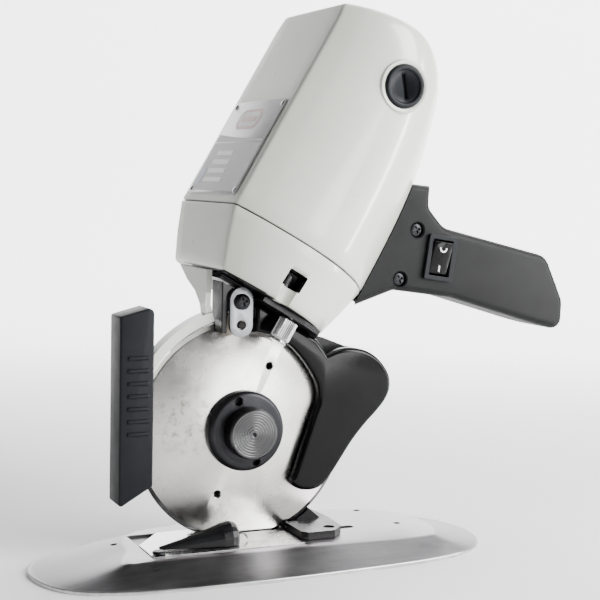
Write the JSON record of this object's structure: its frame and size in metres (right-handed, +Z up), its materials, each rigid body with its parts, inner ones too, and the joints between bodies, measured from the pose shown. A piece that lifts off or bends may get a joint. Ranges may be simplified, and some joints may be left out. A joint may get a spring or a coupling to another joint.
{
  "type": "rotary cloth cutter",
  "caption": "Hand-held electric round-knife fabric cutter: disc blade in an upright standard on a flat shoe, tilted motor above, rear handle, finger guard and sharpener.",
  "frame": {"origin": "on the plane the shoe rests on, straight below the centre of the blade's disc", "axes": "+Z up, +X from the nose of the shoe towards the handle, -Y on the side of the blade's clamping nut; the blade turns about +Y"},
  "size_m": [0.2665, 0.1104, 0.2438],
  "materials": {
    "black_casting": "semi-gloss black enamel on cast aluminium",
    "black_plastic": "moulded black nylon",
    "blade_steel": "ground and polished tool steel",
    "brass": "turned brass",
    "bright_steel": "bright nickel plate",
    "carbon": null,
    "copper": null,
    "cream_paint": "gloss off-white paint on die-cast aluminium",
    "dark_steel": "blackened, turned",
    "gear_steel": "machined steel",
    "lamination": "lacquered stacked laminations",
    "plate_print": null,
    "shoe_steel": "satin nickel-plated plate",
    "stone": "bonded abrasive"
  },
  "bodies": {
    "machine_frame": {"base_plate": "shoe_steel", "throat_plate": "bright_steel", "throat_screw": "dark_steel", "knife_spring": "bright_steel", "standard": "black_casting", "foot_screw_near": "dark_steel", "foot_screw_far": "dark_steel", "gear_case_cover": "black_casting", "spindle_front_bearing": "bright_steel", "spindle_rear_bearing": "bright_steel", "layshaft_rear_bearing": "bright_steel", "stator_core": "lamination", "field_coil_upper": "copper", "field_coil_lower": "copper", "motor_lower_bearing": "bright_steel", "motor_upper_bearing": "bright_steel", "upper_bracket": "black_casting", "carbon_brush_near": "carbon", "brush_holder_near": "brass", "brush_spring_near": "bright_steel", "brush_cap_near": "black_plastic", "carbon_brush_far": "carbon", "brush_holder_far": "brass", "brush_spring_far": "bright_steel", "brush_cap_far": "black_plastic", "motor_cover": "cream_paint", "gear_housing": "cream_paint", "nameplate": "plate_print", "handle_near": "black_plastic", "handle_far": "black_plastic", "handle_screw_upper": "bright_steel", "handle_screw_lower": "bright_steel", "switch_bezel": "black_plastic", "power_inlet": "black_plastic", "guard_arm": "cream_paint", "rear_guard": "black_plastic", "sharpener_block": "black_casting", "link_screw": "dark_steel"},
    "armature": {"armature_shaft": "gear_steel", "armature_core": "lamination", "commutator": "copper", "cooling_fan": "black_plastic", "bevel_pinion": "gear_steel"},
    "layshaft_set": {"layshaft": "gear_steel", "bevel_gear": "gear_steel", "layshaft_pinion": "gear_steel"},
    "blade_set": {"blade_spindle": "gear_steel", "spindle_gear": "gear_steel", "blade": "blade_steel", "blade_flange": "dark_steel", "blade_nut": "dark_steel"},
    "finger_guard": {"finger_guard": "black_plastic"},
    "rocker": {"switch_rocker": "black_plastic"},
    "counter_knife": {"knife_holder": "black_casting", "lower_knife": "bright_steel"},
    "sharpener_link": {"sharpener_link": "bright_steel"},
    "stone": {"grinding_stone": "stone"},
    "push_pin": {"sharpener_pin": "bright_steel"},
    "thumb_screw": {"thumb_screw": "bright_steel"}
  },
  "joints": [
    {"name": "armature_spin", "type": "hinge", "parent": "machine_frame", "child": "armature", "pos_m": [0.04022, 0.014, 0.17266], "axis": [0.5, 0, 0.866], "continuous": true},
    {"name": "layshaft_spin", "type": "hinge", "parent": "machine_frame", "child": "layshaft_set", "pos_m": [-0.00737, 0.014, 0.09024], "axis": [0, 1, 0], "continuous": true},
    {"name": "blade_spin", "type": "hinge", "parent": "machine_frame", "child": "blade_set", "pos_m": [0, 0, 0.055], "axis": [0, 1, 0], "continuous": true},
    {"name": "finger_guard_swing", "type": "hinge", "parent": "machine_frame", "child": "finger_guard", "pos_m": [0, 0, 0.055], "axis": [0, 1, 0], "range_deg": [-8, 12]},
    {"name": "switch_rock", "type": "hinge", "parent": "machine_frame", "child": "rocker", "pos_m": [0.097, -0.003, 0.1315], "axis": [0.9903, 0, -0.1392], "range_deg": [-14, 0]},
    {"name": "counter_knife_give", "type": "slide", "parent": "machine_frame", "child": "counter_knife", "axis": [0, -1, 0], "range_m": [0, 0.0008], "stiffness_N_per_m": 2500},
    {"name": "sharpener_link_swing", "type": "hinge", "parent": "machine_frame", "child": "sharpener_link", "pos_m": [-0.0065, -0.011, 0.1136], "axis": [0, 1, 0], "range_deg": [-18, 0]},
    {"name": "stone_spin", "type": "hinge", "parent": "sharpener_link", "child": "stone", "pos_m": [-0.0065, -0.003, 0.1034], "axis": [0, 1, 0], "continuous": true},
    {"name": "sharpener_push", "type": "slide", "parent": "machine_frame", "child": "push_pin", "axis": [-0.5, 0, -0.866], "range_m": [0, 0.004], "stiffness_N_per_m": 400},
    {"name": "thumb_screw_turn", "type": "hinge", "parent": "machine_frame", "child": "thumb_screw", "pos_m": [0.01261, -0.014, 0.10084], "axis": [0.5, 0, 0.866], "range_deg": [-180, 180]}
  ],
  "couplings": [
    {"joint": "layshaft_spin", "follows": "armature_spin", "ratio": -0.33333},
    {"joint": "blade_spin", "follows": "armature_spin", "ratio": 0.11111}
  ]
}
